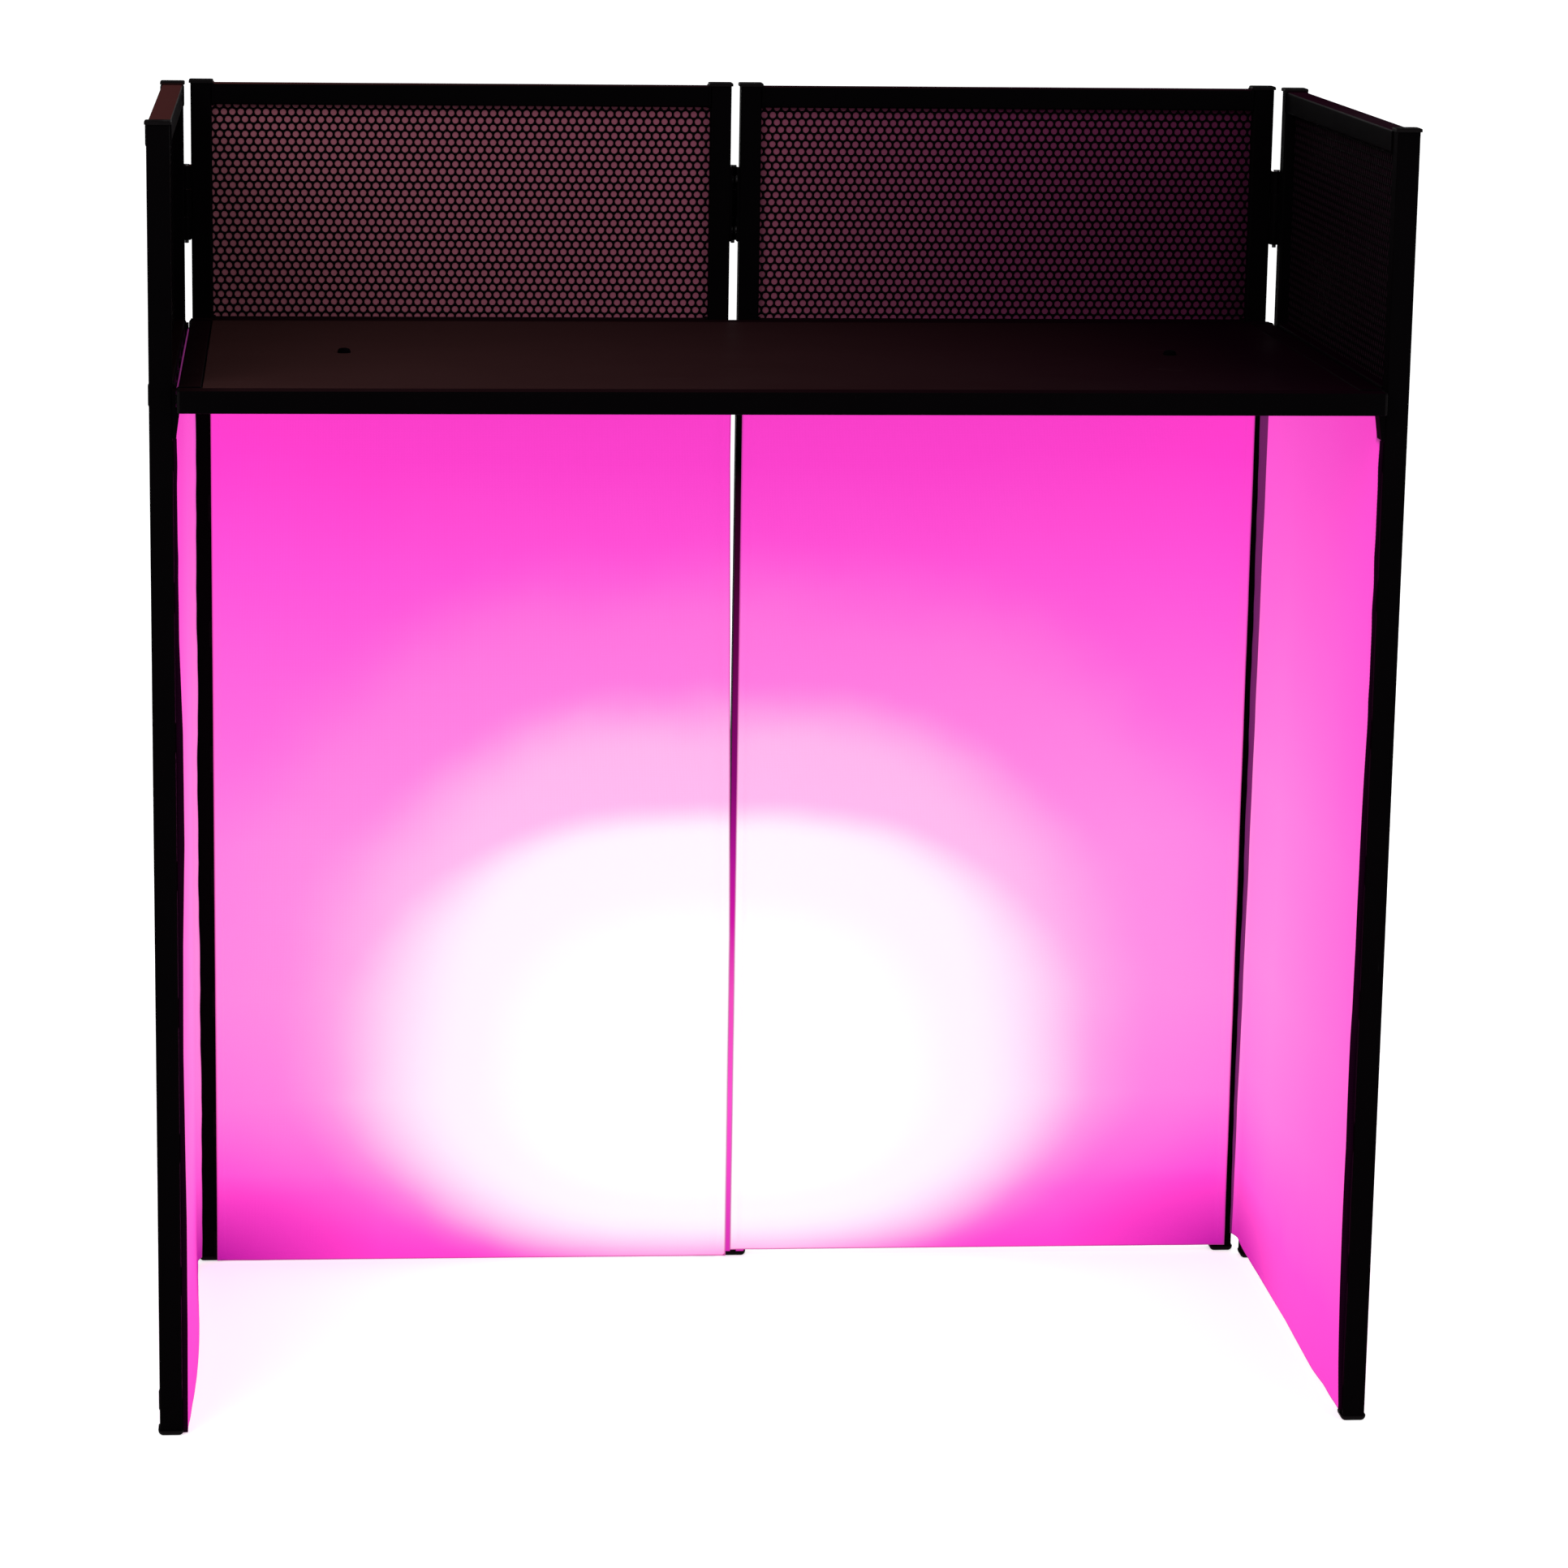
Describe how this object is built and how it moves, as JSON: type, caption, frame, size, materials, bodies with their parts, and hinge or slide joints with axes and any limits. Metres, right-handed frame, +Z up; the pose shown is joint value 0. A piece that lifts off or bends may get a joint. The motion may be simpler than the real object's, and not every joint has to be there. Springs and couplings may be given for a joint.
{
  "type": "dj booth",
  "caption": "Folding black tube-frame DJ booth with hinged panels, perforated steel screens above and stretch scrims below, and a lift-off table on brackets.",
  "frame": {"origin": "on the floor, under the centre of the whole booth's box", "axes": "+Z up, +X to the right of the person who plays, +Y towards the audience"},
  "size_m": [1.0946, 0.5738, 1.168],
  "materials": {
    "frame": "satin black powder coat",
    "screen": "satin black powder coat on perforated sheet",
    "plastic": "moulded matte black",
    "scrim": "stretch knit, lit magenta",
    "hook_tab": "hook-and-loop tape",
    "hinge": "satin black",
    "steel": "blackened steel",
    "board": "semi-gloss black laminate",
    "bolt": "black oxide"
  },
  "bodies": {
    "front_left": {"front_left_bottom_rail": "frame", "front_left_caps": "plastic", "front_left_feet": "plastic", "front_left_hinge_leaves": "hinge", "front_left_hinge_pins": "steel", "front_left_left_post": "frame", "front_left_mid_rail": "frame", "front_left_right_post": "frame", "front_left_screen": "screen", "front_left_screws": "steel", "front_left_scrim": "scrim", "front_left_scrim_tabs": "hook_tab", "front_left_top_rail": "frame"},
    "side_left": {"side_left_bottom_rail": "frame", "side_left_brackets": "frame", "side_left_caps": "plastic", "side_left_feet": "plastic", "side_left_hinge_leaves": "hinge", "side_left_left_post": "frame", "side_left_mid_rail": "frame", "side_left_right_post": "frame", "side_left_screen": "screen", "side_left_screws": "steel", "side_left_scrim": "scrim", "side_left_scrim_tabs": "hook_tab", "side_left_top_rail": "frame"},
    "front_right": {"front_right_bottom_rail": "frame", "front_right_caps": "plastic", "front_right_feet": "plastic", "front_right_hinge_leaves": "hinge", "front_right_hinge_pins": "steel", "front_right_left_post": "frame", "front_right_mid_rail": "frame", "front_right_right_post": "frame", "front_right_screen": "screen", "front_right_screws": "steel", "front_right_scrim": "scrim", "front_right_scrim_tabs": "hook_tab", "front_right_top_rail": "frame"},
    "side_right": {"side_right_bottom_rail": "frame", "side_right_brackets": "frame", "side_right_caps": "plastic", "side_right_feet": "plastic", "side_right_hinge_leaves": "hinge", "side_right_left_post": "frame", "side_right_mid_rail": "frame", "side_right_right_post": "frame", "side_right_screen": "screen", "side_right_screws": "steel", "side_right_scrim": "scrim", "side_right_scrim_tabs": "hook_tab", "side_right_top_rail": "frame"},
    "table": {"table_back_tube": "frame", "table_board": "board", "table_bolts": "bolt", "table_cross_bars": "frame", "table_front_tube": "frame", "table_left_tube": "frame", "table_plugs": "plastic", "table_right_tube": "frame"}
  },
  "joints": [
    {"name": "side_left_hinge", "type": "hinge", "parent": "front_left", "child": "side_left", "pos_m": [-0.524, 0.2593, 0], "axis": [0, 0, -1], "range_deg": [0, 90]},
    {"name": "centre_hinge", "type": "hinge", "parent": "front_left", "child": "front_right", "pos_m": [0, 0.2829, 0], "axis": [0, 0, 1], "range_deg": [0, 180]},
    {"name": "side_right_hinge", "type": "hinge", "parent": "front_right", "child": "side_right", "pos_m": [0.524, 0.2593, 0], "axis": [0, 0, 1], "range_deg": [0, 90]},
    {"name": "table_lift", "type": "slide", "parent": "front_left", "child": "table", "axis": [0, 0, 1], "range_m": [0, 0.26]}
  ]
}
